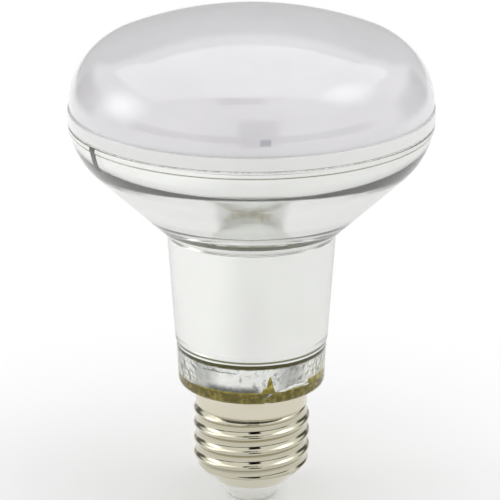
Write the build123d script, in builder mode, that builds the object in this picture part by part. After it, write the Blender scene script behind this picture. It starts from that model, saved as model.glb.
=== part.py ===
from build123d import *
import os
from math import asin, atan2, cos, degrees, radians, sin, sqrt, tan

# Reflector bulb with a screw cap, in millimetres. The lamp's axis is Z, the face of its
# centre contact is at z = 0, and its front lens looks along +Z.

# Clearances
bond_gap = 0.02
slide_gap = 0.15
assembly_gap = 0.3

# Centre contact and insulator
contact_radius = 4.65
contact_edge_round = 0.25
contact_drop = 0.3
contact_seat_depth = 0.5
contact_stem_radius = 1.2
contact_stem_stand = 0.6
insulator_lip = 0.45
insulator_foot_flare = 2.0
insulator_brow_flare = 2.2
insulator_foot_height = 2.7
insulator_brow_height = 2.1
insulator_bed_height = 2.0

# Screw shell with its rolled knuckle thread
shell_wall = 0.3
shell_cone_angle = 43.0
thread_crest_radius = 13.1
thread_depth = 0.9
thread_pitch = 3.629
thread_crest_round = 1.025
thread_flank_angle = 60.0
thread_length = 14.35
thread_end_angle = 309.0
thread_root_bite = 0.15
thread_run_out = 0.2
collar_swell = 0.4
collar_height = 4.65

# Moulded driver housing
spigot_length = 14.0
housing_wall = 1.4
plug_swell = 1.45
plug_height = 6.6
dam_thickness = 1.2
guide_width = 3.6
guide_reach = 1.8

# Olive cement that bonds cap, housing and glass
cement_bead = 0.75
cement_film = 0.3

# Glass reflector
glass_wall = 2.0
foot_lip = 2.3
neck_flare = 2.37
neck_length = 35.35
neck_step_height = 10.45
neck_step_depth = 0.22
cone_angle = 46.5
bulge_round = 15.5
rim_drop = 1.15
rim_band = 1.15
rim_step = 0.1
foot_round = 1.5
foot_inner_round = 0.8
junction_round = 2.2

# Front lens and its seal
lamp_radius = 40.0
flange_step = 0.3
flange_height = 2.9
flange_web = 1.6
flange_edge_bevel = 0.2
rim_inset = 0.05
seal_thickness = 0.3
lens_wall = 2.0
lens_skirt = 0.75
lens_edge_round = 15.1
lens_face_round = 82.2
lens_spigot_depth = 1.45
lens_spigot_wall = 1.5

# Heat-sink cup and light source
cup_wall = 1.0
cup_floor = 1.2
cup_drop = 0.4
cup_edge_round = 1.0
led_board_margin = 2.6
led_board_thickness = 1.2
emitter_count = 8
emitter_inset = 3.0
emitter_size = 3.0
emitter_height = 0.75
emitter_window = 1.25
emitter_window_depth = 0.2
screw_inset = 2.2
screw_shank_radius = 0.9
screw_head_radius = 1.7
screw_head_height = 1.1
screw_head_bevel = 0.5
screw_slot_width = 0.5
screw_slot_depth = 0.5
screw_tip_length = 1.0
lead_hole_radius = 2.4

# Driver board and the parts on it
board_thickness = 1.2
board_headroom = 3.0
board_tail_length = 12.0
part_spacing = 1.0
part_offset = 5.2
part_edge_bevel = 0.4
can_radius = 4.0
can_height = 12.5
can_groove_depth = 0.45
can_groove_height = 2.2
film_width = 7.4
film_depth = 4.5
film_height = 9.0
choke_radius = 3.4
choke_coil_radius = 2.9
choke_height = 6.6
choke_flange = 1.0
inductor_width = 10.0
inductor_depth = 7.0
inductor_height = 10.0
inductor_coil_radius = 3.3
inductor_yoke = 2.2
inductor_leg = 1.4
bridge_width = 5.0
bridge_depth = 2.4
bridge_height = 4.6
chip_width = 5.0
chip_depth = 1.5
chip_height = 4.0
pin_width = 0.45
pin_thickness = 0.25
pin_reach = 1.0
pin_pitch = 1.27
fuse_radius = 1.6
fuse_length = 6.0
fuse_wire_radius = 0.35
fuse_wire_run = 2.0
fuse_wire_bend = 0.7

# Leads
lead_radius = 0.55
lead_spacing = 2.2
lead_bend = 1.2
lead_overlap = 5.0
led_lead_rise = 1.6
led_lead_reach = 3.2
cap_lead_offset = 6.0
cap_lead_drop = 2.2

# Radii worked out from the cap outwards
thread_root_radius = thread_crest_radius - thread_depth
collar_radius = thread_root_radius + collar_swell
shell_bore = thread_root_radius - shell_wall
insulator_foot_radius = contact_radius + insulator_lip
insulator_waist_radius = insulator_foot_radius + insulator_foot_flare
shell_edge_radius = insulator_waist_radius + insulator_brow_flare
spigot_radius = shell_bore - slide_gap
spigot_bore = spigot_radius - housing_wall
plug_radius = spigot_radius + plug_swell
plug_bore = plug_radius - housing_wall
mouth_radius = spigot_radius + assembly_gap
neck_foot_radius = mouth_radius + foot_lip + glass_wall
neck_top_radius = neck_foot_radius + neck_flare
neck_taper = neck_flare / neck_length
lens_radius = lamp_radius - flange_step
rim_radius = lamp_radius - rim_inset
bulge_radius = rim_radius - rim_step

# Heights worked out from the contact's face upwards
plate_top_z = contact_drop + contact_seat_depth
insulator_waist_z = contact_drop + insulator_foot_height
shell_edge_z = insulator_waist_z + insulator_brow_height
insulator_top_z = shell_edge_z + insulator_bed_height
stem_top_z = insulator_top_z + contact_stem_stand
shell_slope = tan(radians(shell_cone_angle))
shell_cone_top_z = shell_edge_z + (thread_root_radius - shell_edge_radius) / shell_slope
thread_top_z = shell_cone_top_z + thread_length
collar_step_z = thread_top_z + collar_swell
shell_top_z = thread_top_z + collar_height
spigot_bottom_z = shell_top_z - spigot_length
foot_z = shell_top_z + cement_bead
lip_top_z = foot_z + glass_wall
plug_foot_z = lip_top_z + cement_film
board_seat_z = plug_foot_z + housing_wall
board_tail_z = board_seat_z - board_tail_length
dam_z = plug_foot_z + plug_height
dam_top_z = dam_z + dam_thickness
neck_step_z = foot_z + neck_step_height
neck_top_z = foot_z + neck_length
cup_top_z = neck_top_z - cup_drop
cup_floor_z = cup_top_z - cup_floor
board_top_z = cup_floor_z - board_headroom
led_board_top_z = cup_top_z + led_board_thickness

# Reflector curve: the cone leaves the neck and runs tangent into the round bulge
cone = radians(cone_angle)
bulge_centre_r = bulge_radius - bulge_round
bulge_bore_round = bulge_round - glass_wall
cone_length = (bulge_centre_r - neck_top_radius + bulge_round * cos(cone)) / sin(cone)
bulge_centre_z = neck_top_z + cone_length * cos(cone) + bulge_round * sin(cone)
rim_z = bulge_centre_z - rim_drop
band_z = rim_z - rim_band
flange_z = rim_z + seal_thickness
flange_top_z = flange_z + flange_height


def neck_radius(z):
    """Radius of the glass neck's straight outside at height z."""
    return neck_foot_radius + neck_taper * (z - foot_z)


def neck_bore(z):
    """Radius of the glass neck's inside at height z."""
    return neck_radius(z) - glass_wall


def bulge_bore(z):
    """Radius of the bulge's inside at height z, near the rim."""
    return bulge_centre_r + sqrt(bulge_bore_round**2 - (z - bulge_centre_z) ** 2)


def shell_cone_bore(z):
    """Radius of the inside of the shell's lower cone at height z."""
    inset = shell_wall / cos(radians(shell_cone_angle))
    return shell_edge_radius + (z - shell_edge_z) * shell_slope - inset


def upright(centre):
    """Profile plane through a point, with its turning axis along +Z."""
    return Plane(centre, x_dir=(1, 0, 0), z_dir=(0, -1, 0))


def turned(outline, plane=Plane.XZ):
    """Solid turned about a plane's y axis from a closed outline of (radius, height) points."""
    with BuildPart() as piece:
        with BuildSketch(plane):
            with BuildLine():
                Polyline(*outline, close=True)
            make_face()
        revolve(axis=Axis(plane.origin, plane.y_dir))
    return piece.part


def corner_near(outline, point):
    """Corner of a sketch that lies nearest to a (radius, height) point."""
    return outline.vertices().sort_by_distance(point)[0]


def save(piece, name):
    """Label a finished piece and write its STEP file."""
    piece.part.label = name
    export_step(piece.part, f"parts/{name}.step")


def thread_ridge(inset):
    """Helical ridge of the knuckle thread, moved in by inset, tapered off at both ends."""
    flank = radians(thread_flank_angle)
    root = thread_root_radius - inset
    base = root - thread_root_bite
    crest_centre = thread_crest_radius - thread_crest_round
    crest_round = thread_crest_round - inset
    flank_r = crest_centre + crest_round * cos(flank)
    flank_z = crest_round * sin(flank)
    base_z = flank_z + (flank_r - base) / tan(flank)
    start_z = shell_cone_top_z - base_z
    end_z = thread_top_z - thread_run_out
    start_turn = thread_end_angle - 360 * (thread_top_z - start_z) / thread_pitch
    with BuildPart() as ridge:
        with BuildLine() as path:
            Helix(thread_pitch, end_z - start_z, thread_crest_radius, center=(0, 0, start_z))
        with BuildSketch(Plane.XZ) as section:
            with BuildLine():
                Line((base, start_z - base_z), (flank_r, start_z - flank_z))
                ThreePointArc(
                    (flank_r, start_z - flank_z),
                    (crest_centre + crest_round, start_z),
                    (flank_r, start_z + flank_z),
                )
                Line((flank_r, start_z + flank_z), (base, start_z + base_z))
                Line((base, start_z + base_z), (base, start_z - base_z))
            make_face()
        sweep(section.sketch, path=path.line, is_frenet=True)
        add(run_out_cone(root, shell_cone_top_z + thread_run_out, 1), mode=Mode.SUBTRACT)
        add(run_out_cone(root, end_z, -1), mode=Mode.SUBTRACT)
    return ridge.part.rotate(Axis.Z, start_turn)


def run_out_cone(root, z, side):
    """Cutter that tapers the thread off on a 45 degree cone that meets the root at height z."""
    reach = 2 * (thread_crest_radius - thread_root_radius + thread_root_bite)
    return turned(
        [
            (root - reach, z - side * reach),
            (root - reach, z - side * thread_pitch),
            (root + reach, z - side * thread_pitch),
            (root + reach, z + side * reach),
        ]
    )


def bevelled_box(size, centre):
    """Solid block with bevelled edges, for the bodies of moulded parts."""
    with BuildPart() as block:
        with Locations(centre):
            Box(*size)
        chamfer(block.edges(), length=part_edge_bevel)
    return block.part


def pinned_block(width, depth, height, z, pins):
    """Moulded part on the board's back face, with a row of pins on each side."""
    with BuildPart() as block:
        add(bevelled_box((width, depth, height), (part_offset, -board_face_y - depth / 2, z)))
        for row in range(pins):
            pin_z = z + (row - (pins - 1) / 2) * min(pin_pitch, height / pins)
            with Locations((part_offset, -board_face_y - pin_thickness / 2, pin_z)):
                Box(width + 2 * pin_reach, pin_thickness, pin_width)
    return block


def wire(points, radius, bend):
    """Round wire along straight runs joined by tangent bends."""
    with BuildPart() as lead:
        with BuildLine() as route:
            FilletPolyline(*points, radius=bend)
        with BuildSketch(Plane(route.line @ 0, z_dir=route.line % 0)):
            Circle(radius)
        sweep(path=route.line)
    return lead.part


os.makedirs("parts", exist_ok=True)

# Centre contact: a plate under the insulator with a stem that carries its lead
with BuildPart() as centre_contact:
    add(
        turned(
            [
                (0, 0),
                (contact_radius, 0),
                (contact_radius, plate_top_z),
                (contact_stem_radius, plate_top_z),
                (contact_stem_radius, stem_top_z),
                (0, stem_top_z),
            ]
        )
    )
    fillet(centre_contact.edges().group_by(Axis.Z)[0], radius=contact_edge_round)
save(centre_contact, "centre_contact")

# Insulator: a two-slope brow below the shell and a bed inside its cone
with BuildPart() as cap_insulator:
    add(
        turned(
            [
                (contact_stem_radius + bond_gap, plate_top_z),
                (contact_radius + bond_gap, plate_top_z),
                (contact_radius + bond_gap, contact_drop),
                (insulator_foot_radius, contact_drop),
                (insulator_waist_radius, insulator_waist_z),
                (shell_edge_radius, shell_edge_z),
                (shell_cone_bore(shell_edge_z) - bond_gap, shell_edge_z),
                (shell_cone_bore(insulator_top_z) - bond_gap, insulator_top_z),
                (contact_stem_radius + bond_gap, insulator_top_z),
            ]
        )
    )
save(cap_insulator, "cap_insulator")

# Screw shell: a thin tube with the thread rolled through it, its lower cone and its collar
with BuildPart() as cap_shell:
    add(
        turned(
            [
                (shell_bore, shell_cone_top_z),
                (thread_root_radius, shell_cone_top_z),
                (thread_root_radius, thread_top_z),
                (shell_bore, thread_top_z),
            ]
        )
    )
    add(thread_ridge(0))
    add(thread_ridge(shell_wall), mode=Mode.SUBTRACT)
    add(
        turned(
            [
                (shell_cone_bore(shell_edge_z), shell_edge_z),
                (shell_edge_radius, shell_edge_z),
                (thread_root_radius, shell_cone_top_z),
                (shell_bore, shell_cone_top_z),
                (shell_cone_bore(shell_cone_top_z), shell_cone_top_z),
            ]
        )
    )
    add(
        turned(
            [
                (shell_bore, thread_top_z),
                (thread_root_radius, thread_top_z),
                (collar_radius, collar_step_z),
                (collar_radius, shell_top_z),
                (collar_radius - shell_wall, shell_top_z),
                (collar_radius - shell_wall, collar_step_z),
            ]
        )
    )
save(cap_shell, "cap_shell")

# Driver housing: spigot in the cap, plug in the glass neck, and a dam that stops the cement
dam_radius = neck_bore(dam_z) - assembly_gap
with BuildPart() as driver_housing:
    add(
        turned(
            [
                (spigot_bore, spigot_bottom_z),
                (spigot_radius, spigot_bottom_z),
                (spigot_radius, plug_foot_z),
                (plug_radius, plug_foot_z),
                (plug_radius, dam_z),
                (dam_radius, dam_z),
                (dam_radius, dam_top_z),
                (plug_bore, dam_top_z),
                (plug_bore, board_seat_z),
                (spigot_bore, board_seat_z),
            ]
        )
    )
    with BuildSketch(Plane.XY.offset(board_seat_z)):
        Rectangle(2 * plug_radius, guide_width)
        Rectangle(2 * (plug_bore - guide_reach), guide_width, mode=Mode.SUBTRACT)
        Rectangle(2 * plug_radius, board_thickness + 2 * slide_gap, mode=Mode.SUBTRACT)
        Circle((plug_bore + plug_radius) / 2, mode=Mode.INTERSECT)
    extrude(amount=dam_top_z - board_seat_z)
save(driver_housing, "driver_housing")

# Cement: bead on the cap's rim, film under the plug, fill in the neck and a skirt round the dam
with BuildPart() as neck_cement:
    add(
        turned(
            [
                (spigot_radius + bond_gap, shell_top_z),
                (collar_radius, shell_top_z),
                (collar_radius + cement_bead, foot_z),
                (mouth_radius - bond_gap, foot_z),
                (mouth_radius - bond_gap, lip_top_z),
                (neck_bore(lip_top_z) - foot_inner_round, lip_top_z),
                (neck_bore(lip_top_z + foot_inner_round) - bond_gap, lip_top_z + foot_inner_round),
                (neck_bore(dam_top_z) - bond_gap, dam_top_z),
                (dam_radius + bond_gap, dam_top_z),
                (dam_radius + bond_gap, dam_z - bond_gap),
                (plug_radius + bond_gap, dam_z - bond_gap),
                (plug_radius + bond_gap, plug_foot_z),
                (spigot_radius + bond_gap, plug_foot_z),
            ]
        )
    )
save(neck_cement, "neck_cement")

# Glass reflector: turned-in foot, neck with a step, cone, round bulge and rim band
cone_run = (sin(cone), cos(cone))
cone_end = (neck_top_radius + cone_length * cone_run[0], neck_top_z + cone_length * cone_run[1])
inner_start = (neck_top_radius - glass_wall * cos(cone), neck_top_z + glass_wall * sin(cone))
throat_run = (neck_bore(inner_start[1]) - inner_start[0]) / (sin(cone) - neck_taper * cos(cone))
throat_z = inner_start[1] + throat_run * cos(cone)
band_turn = asin((bulge_centre_z - band_z) / bulge_round)
rim_turn = asin((bulge_centre_z - rim_z) / bulge_bore_round)
band_inner = (bulge_centre_r + bulge_round * cos(band_turn), band_z)
rim_inner = (bulge_bore(rim_z), rim_z)
inner_cone_end = (
    bulge_centre_r + bulge_bore_round * cos(cone),
    bulge_centre_z - bulge_bore_round * sin(cone),
)
bulge_centre = (bulge_centre_r, bulge_centre_z)
with BuildPart() as glass_reflector:
    with BuildSketch(Plane.XZ) as reflector_outline:
        with BuildLine():
            Polyline(
                (mouth_radius, lip_top_z),
                (mouth_radius, foot_z),
                (neck_foot_radius, foot_z),
                (neck_radius(neck_step_z) - neck_step_depth, neck_step_z),
                (neck_radius(neck_step_z), neck_step_z),
                (neck_top_radius, neck_top_z),
                cone_end,
            )
            CenterArc(bulge_centre, bulge_round, -cone_angle, cone_angle - degrees(band_turn))
            Polyline(band_inner, (rim_radius, band_z), (rim_radius, rim_z), rim_inner)
            CenterArc(
                bulge_centre, bulge_bore_round, -degrees(rim_turn), degrees(rim_turn) - cone_angle
            )
            Polyline(
                inner_cone_end,
                (neck_bore(throat_z), throat_z),
                (neck_bore(lip_top_z), lip_top_z),
                (mouth_radius, lip_top_z),
            )
        make_face()
        for corner, radius in (
            ((neck_foot_radius, foot_z), foot_round),
            ((neck_bore(lip_top_z), lip_top_z), foot_inner_round),
            ((neck_top_radius, neck_top_z), junction_round),
        ):
            fillet(corner_near(reflector_outline, corner), radius=radius)
    revolve(axis=Axis.Z)
save(glass_reflector, "glass_reflector")

# Seal between the reflector's rim and the lens flange
with BuildPart() as lens_seal:
    add(
        turned(
            [
                (bulge_bore(rim_z) + slide_gap, rim_z),
                (rim_radius - slide_gap, rim_z),
                (rim_radius - slide_gap, flange_z),
                (bulge_bore(rim_z) + slide_gap, flange_z),
            ]
        )
    )
save(lens_seal, "lens_seal")

# Front lens: domed face with a round edge, moulded flange and locating spigot
edge_centre = (lens_radius - lens_edge_round, flange_top_z + lens_skirt)
face_drop = sqrt((lens_face_round - lens_edge_round) ** 2 - edge_centre[0] ** 2)
face_centre = (0, edge_centre[1] - face_drop)
edge_turn = degrees(atan2(face_drop, edge_centre[0]))
face_z = face_centre[1] + lens_face_round
lens_spigot_z = flange_z - lens_spigot_depth
lens_spigot_radius = bulge_bore(lens_spigot_z) - assembly_gap
lens_spigot_bore = lens_spigot_radius - lens_spigot_wall
lens_bore = lens_radius - lens_wall
with BuildPart() as front_lens:
    with BuildSketch(Plane.XZ) as lens_outline:
        with BuildLine():
            Polyline(
                (lens_spigot_bore, lens_spigot_z),
                (lens_spigot_radius, lens_spigot_z),
                (lens_spigot_radius, flange_z),
                (lamp_radius, flange_z),
                (lamp_radius, flange_top_z),
                (lens_radius, flange_top_z),
                (lens_radius, edge_centre[1]),
            )
            CenterArc(edge_centre, lens_edge_round, 0, edge_turn)
            CenterArc(face_centre, lens_face_round, edge_turn, 90 - edge_turn)
            Line((0, face_z), (0, face_z - lens_wall))
            CenterArc(face_centre, lens_face_round - lens_wall, 90, edge_turn - 90)
            CenterArc(edge_centre, lens_edge_round - lens_wall, edge_turn, -edge_turn)
            Polyline(
                (lens_bore, edge_centre[1]),
                (lens_bore, flange_z + flange_web),
                (lens_spigot_bore, flange_z + flange_web),
                (lens_spigot_bore, lens_spigot_z),
            )
        make_face()
        for corner in ((lamp_radius, flange_z), (lamp_radius, flange_top_z)):
            chamfer(corner_near(lens_outline, corner), length=flange_edge_bevel)
    revolve(axis=Axis.Z)
save(front_lens, "front_lens")

# Heat-sink cup: drawn aluminium, wedged in the neck, open below, standing on the dam
board_face_y = board_thickness / 2
lead_y = board_face_y + lead_radius + bond_gap
led_board_radius = neck_bore(cup_top_z) - assembly_gap - led_board_margin
screw_circle = led_board_radius - screw_inset
emitter_circle = screw_circle - emitter_inset
with BuildPart() as heat_sink_cup:
    add(
        turned(
            [
                (neck_bore(dam_top_z) - assembly_gap - cup_wall, dam_top_z),
                (neck_bore(dam_top_z) - assembly_gap, dam_top_z),
                (neck_bore(cup_top_z) - assembly_gap, cup_top_z),
                (0, cup_top_z),
                (0, cup_floor_z),
                (neck_bore(cup_floor_z) - assembly_gap - cup_wall, cup_floor_z),
            ]
        )
    )
    fillet(heat_sink_cup.edges().group_by(Axis.Z)[-1], radius=cup_edge_round)
    with Locations((0, lead_y, cup_top_z)):
        Hole(lead_hole_radius, depth=cup_floor)
    with Locations(Plane.XY.offset(cup_top_z)):
        with PolarLocations(screw_circle, 2):
            Hole(screw_shank_radius + bond_gap, depth=cup_floor)
save(heat_sink_cup, "heat_sink_cup")

# Round board with its ring of emitters and the two screws that hold it down
with BuildPart() as led_board:
    with BuildSketch(Plane.XY.offset(cup_top_z)):
        Circle(led_board_radius)
        with Locations((0, lead_y)):
            Circle(lead_hole_radius, mode=Mode.SUBTRACT)
        with PolarLocations(screw_circle, 2):
            Circle(screw_shank_radius + slide_gap, mode=Mode.SUBTRACT)
    extrude(amount=led_board_thickness)
save(led_board, "led_board")

with BuildPart() as led_emitters:
    with BuildSketch(Plane.XY.offset(led_board_top_z)):
        with PolarLocations(emitter_circle, emitter_count, start_angle=180 / emitter_count):
            Rectangle(emitter_size, emitter_size)
    extrude(amount=emitter_height)
    with BuildSketch(Plane.XY.offset(led_board_top_z + emitter_height)):
        with PolarLocations(emitter_circle, emitter_count, start_angle=180 / emitter_count):
            Circle(emitter_window)
    extrude(amount=-emitter_window_depth, mode=Mode.SUBTRACT)
save(led_emitters, "led_emitters")

screw_tip_z = cup_floor_z - screw_tip_length
with BuildPart() as board_screws:
    with BuildSketch(Plane.XY.offset(screw_tip_z)):
        with PolarLocations(screw_circle, 2):
            Circle(screw_shank_radius)
    extrude(amount=led_board_top_z - screw_tip_z)
    with BuildSketch(Plane.XY.offset(led_board_top_z)):
        with PolarLocations(screw_circle, 2):
            Circle(screw_head_radius)
    extrude(amount=screw_head_height)
    chamfer(board_screws.edges().group_by(Axis.Z)[-1], length=screw_head_bevel)
    with BuildSketch(Plane.XY.offset(led_board_top_z + screw_head_height)):
        with PolarLocations(screw_circle, 2):
            Rectangle(2 * screw_head_radius, screw_slot_width)
    extrude(amount=-screw_slot_depth, mode=Mode.SUBTRACT)
save(board_screws, "board_screws")

# Driver board: upright in the housing's guides, its shoulders on the ledge above the spigot
with BuildPart() as driver_board:
    with BuildSketch(Plane.XZ):
        with BuildLine():
            Polyline(
                (spigot_bore - assembly_gap, board_tail_z),
                (spigot_bore - assembly_gap, board_seat_z),
                (plug_bore - slide_gap, board_seat_z),
                (plug_bore - slide_gap, board_top_z),
                (0, board_top_z),
                (0, board_tail_z),
                close=True,
            )
        make_face()
        mirror(about=Plane.YZ)
    extrude(amount=board_face_y, both=True)
save(driver_board, "driver_board")

# Parts on the board's front face: choke below the capacitor can, film capacitor below the fuse
front_y = board_face_y + bond_gap
lower_z = board_seat_z + part_spacing
choke_z = lower_z + choke_radius
can_z = choke_z + choke_radius + part_spacing
with BuildPart() as filter_choke:
    add(
        turned(
            [
                (0, 0),
                (choke_radius, 0),
                (choke_radius, choke_flange),
                (choke_coil_radius, choke_flange),
                (choke_coil_radius, choke_height - choke_flange),
                (choke_radius, choke_height - choke_flange),
                (choke_radius, choke_height),
                (0, choke_height),
            ],
            Plane((-part_offset, board_face_y, choke_z)),
        )
    )
save(filter_choke, "filter_choke")

with BuildPart() as smoothing_capacitor:
    add(
        turned(
            [
                (0, 0),
                (can_radius, 0),
                (can_radius, can_groove_height - can_groove_depth),
                (can_radius - can_groove_depth, can_groove_height),
                (can_radius, can_groove_height + can_groove_depth),
                (can_radius, can_height),
                (0, can_height),
            ],
            upright((-part_offset, front_y + can_radius, can_z)),
        )
    )
    can_ends = smoothing_capacitor.edges().group_by(Axis.Z)
    chamfer(can_ends[0] + can_ends[-1], length=part_edge_bevel)
save(smoothing_capacitor, "smoothing_capacitor")

with BuildPart() as film_capacitor:
    film_centre = (part_offset, board_face_y + film_depth / 2, lower_z + film_height / 2)
    add(bevelled_box((film_width, film_depth, film_height), film_centre))
save(film_capacitor, "film_capacitor")

fuse_y = front_y + fuse_radius
fuse_wire_z = lower_z + film_height + part_spacing + fuse_wire_radius
fuse_z = fuse_wire_z + fuse_wire_run
fuse_end_z = fuse_z + fuse_length
with BuildPart() as fuse_resistor:
    add(
        turned(
            [(0, 0), (fuse_radius, 0), (fuse_radius, fuse_length), (0, fuse_length)],
            upright((part_offset, fuse_y, fuse_z)),
        )
    )
    chamfer(fuse_resistor.edges().filter_by(GeomType.CIRCLE), length=part_edge_bevel)
    for body_z, foot_wire_z in ((fuse_z, fuse_wire_z), (fuse_end_z, fuse_end_z + fuse_wire_run)):
        add(
            wire(
                [
                    (part_offset, board_face_y, foot_wire_z),
                    (part_offset, fuse_y, foot_wire_z),
                    (part_offset, fuse_y, body_z),
                ],
                fuse_wire_radius,
                fuse_wire_bend,
            )
        )
save(fuse_resistor, "fuse_resistor")

# Parts on the board's back face: inductor above the housing, rectifier and chip beside it
inductor_z = dam_top_z + part_spacing
inductor_y = -board_face_y - inductor_depth / 2
with BuildPart() as power_inductor:
    with BuildSketch(Plane((-part_offset, inductor_y, inductor_z))):
        Rectangle(inductor_width, inductor_depth)
    extrude(amount=inductor_yoke)
    with BuildSketch(Plane((-part_offset, inductor_y, inductor_z + inductor_height))):
        Rectangle(inductor_width, inductor_depth)
    extrude(amount=-inductor_yoke)
    with BuildSketch(Plane((-part_offset, inductor_y, inductor_z))):
        Circle(inductor_coil_radius)
        with GridLocations(inductor_width - inductor_leg, 0, 2, 1):
            Rectangle(inductor_leg, inductor_depth)
    extrude(amount=inductor_height)
save(power_inductor, "power_inductor")

bridge_z = board_seat_z + part_spacing + bridge_height / 2
chip_z = dam_top_z + part_spacing + chip_height / 2
save(pinned_block(bridge_width, bridge_depth, bridge_height, bridge_z, 2), "bridge_rectifier")
save(pinned_block(chip_width, chip_depth, chip_height, chip_z, 4), "driver_chip")

# Leads from the driver board to the light source, through the hole in cup and board
led_lead_z = board_top_z - lead_overlap
led_lead_top_z = led_board_top_z + led_lead_rise
for side, name in ((-1, "led_lead_positive"), (1, "led_lead_negative")):
    lead_x = side * lead_spacing / 2
    with BuildPart() as led_lead:
        add(
            wire(
                [
                    (lead_x, lead_y, led_lead_z),
                    (lead_x, lead_y, led_lead_top_z),
                    (lead_x, lead_y + led_lead_reach, led_lead_top_z),
                    (lead_x, lead_y + led_lead_reach, led_board_top_z),
                ],
                lead_radius,
                lead_bend,
            )
        )
    save(led_lead, name)

# Leads from the driver board's tail to the shell and to the contact's stem
cap_lead_top_z = board_tail_z + lead_overlap
cap_lead_z = spigot_bottom_z - cap_lead_drop
with BuildPart() as shell_lead:
    add(
        wire(
            [
                (-cap_lead_offset, -lead_y, cap_lead_top_z),
                (-cap_lead_offset, -lead_y, cap_lead_z),
                (-shell_bore + assembly_gap, -lead_y, cap_lead_z),
            ],
            lead_radius,
            lead_bend,
        )
    )
save(shell_lead, "shell_lead")

with BuildPart() as contact_lead:
    add(
        wire(
            [
                (cap_lead_offset, -lead_y, cap_lead_top_z),
                (cap_lead_offset, -lead_y, cap_lead_z),
                (0, 0, cap_lead_z),
                (0, 0, stem_top_z),
            ],
            lead_radius,
            lead_bend,
        )
    )
save(contact_lead, "contact_lead")
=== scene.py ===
import logging
import math
from dataclasses import dataclass, field
from enum import Enum, IntEnum
from typing import Any, Callable, Self, Sequence

import bpy
import numpy as np
from mathutils import Matrix, Vector, noise


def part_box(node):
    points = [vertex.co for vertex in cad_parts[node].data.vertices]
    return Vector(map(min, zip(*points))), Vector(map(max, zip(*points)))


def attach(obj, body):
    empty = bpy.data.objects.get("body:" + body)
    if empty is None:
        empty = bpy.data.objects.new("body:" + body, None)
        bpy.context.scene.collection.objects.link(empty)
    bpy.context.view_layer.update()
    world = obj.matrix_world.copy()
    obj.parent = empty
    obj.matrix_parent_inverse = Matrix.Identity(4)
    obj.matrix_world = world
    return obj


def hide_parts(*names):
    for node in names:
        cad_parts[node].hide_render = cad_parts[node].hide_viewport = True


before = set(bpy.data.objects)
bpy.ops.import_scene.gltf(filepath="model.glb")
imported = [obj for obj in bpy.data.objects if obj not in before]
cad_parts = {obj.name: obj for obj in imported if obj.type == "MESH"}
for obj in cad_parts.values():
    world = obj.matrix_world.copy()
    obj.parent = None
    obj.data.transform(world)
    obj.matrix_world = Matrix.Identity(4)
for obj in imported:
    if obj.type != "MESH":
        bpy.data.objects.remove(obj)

MM = 0.001
BODY = "root"
TOUCH = 0.02
ON_AXIS = 1e-6
STEEP = 0.9
FRONT = -90.0
CLOUD_SPAN = (0.3, 0.7)
Point = tuple[float, float]
Triple = tuple[float, float, float]
Colour = Triple
Ring = tuple[np.ndarray, np.ndarray]
log = logging.getLogger("reflector_bulb")


def math_operator(operation: str, reflected: bool = False) -> Callable[["Signal", Any], "Signal"]:
    """Make an operator method that adds a Math node for two values.

    Args:
        operation: the Math node's operation.
        reflected: whether the signal itself comes second.

    Returns:
        The method.
    """

    def method(signal: "Signal", other: "Signal | float") -> "Signal":
        """The operation's value for a signal and another value."""
        values = (other, signal) if reflected else (signal, other)
        return signal.shader.math(operation, *values)

    return method


class Signal:
    """A value in a node tree; arithmetic on it adds Math nodes, and | takes the larger of two values."""

    __add__ = __radd__ = math_operator("ADD")
    __sub__ = math_operator("SUBTRACT")
    __rsub__ = math_operator("SUBTRACT", reflected=True)
    __mul__ = __rmul__ = math_operator("MULTIPLY")
    __truediv__ = math_operator("DIVIDE")
    __rtruediv__ = math_operator("DIVIDE", reflected=True)
    __pow__ = math_operator("POWER")
    __rpow__ = math_operator("POWER", reflected=True)
    __or__ = __ror__ = math_operator("MAXIMUM")

    def __init__(self, shader: "Shader", socket: bpy.types.NodeSocket) -> None:
        """Keep the tree and the socket that carries the value."""
        self.shader = shader
        self.socket = socket

    def __abs__(self) -> "Signal":
        """The value without its sign."""
        return self.shader.math("ABSOLUTE", self)

    def rise(self, low: float, high: float) -> "Signal":
        """Smooth mask that goes from 0 at low to 1 at high.

        Args:
            low: value at which the mask is 0.
            high: value at which the mask is 1; it may lie below low.

        Returns:
            The mask.
        """
        if low > high:
            return 1 - self.rise(high, low)
        sockets = {"Value": self, "From Min": low, "From Max": high}
        node = self.shader.add("ShaderNodeMapRange", {"interpolation_type": "SMOOTHSTEP"}, sockets)
        return Signal(self.shader, node.outputs[0])

    def band(self, low: float, high: float, edge: float) -> "Signal":
        """Mask that is 1 between low and high, with soft edges of a given width."""
        return self.rise(low - edge, low) * self.rise(high + edge, high)

    def near(self, centre: float, half: float, edge: float) -> "Signal":
        """Mask that is 1 up to half to each side of a centre, with soft edges of a given width."""
        return self.band(centre - half, centre + half, edge)

    def tent(self, centre: float, reach: float) -> "Signal":
        """Straight-sided bump that is 1 at the centre and 0 from reach on."""
        return (1 - abs(self - centre) / reach) | 0.0


class Detail(IntEnum):
    """How many finer layers a noise has."""

    SLOW = 1
    PLAIN = 2
    CLOUDY = 3
    GRITTY = 4


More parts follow.
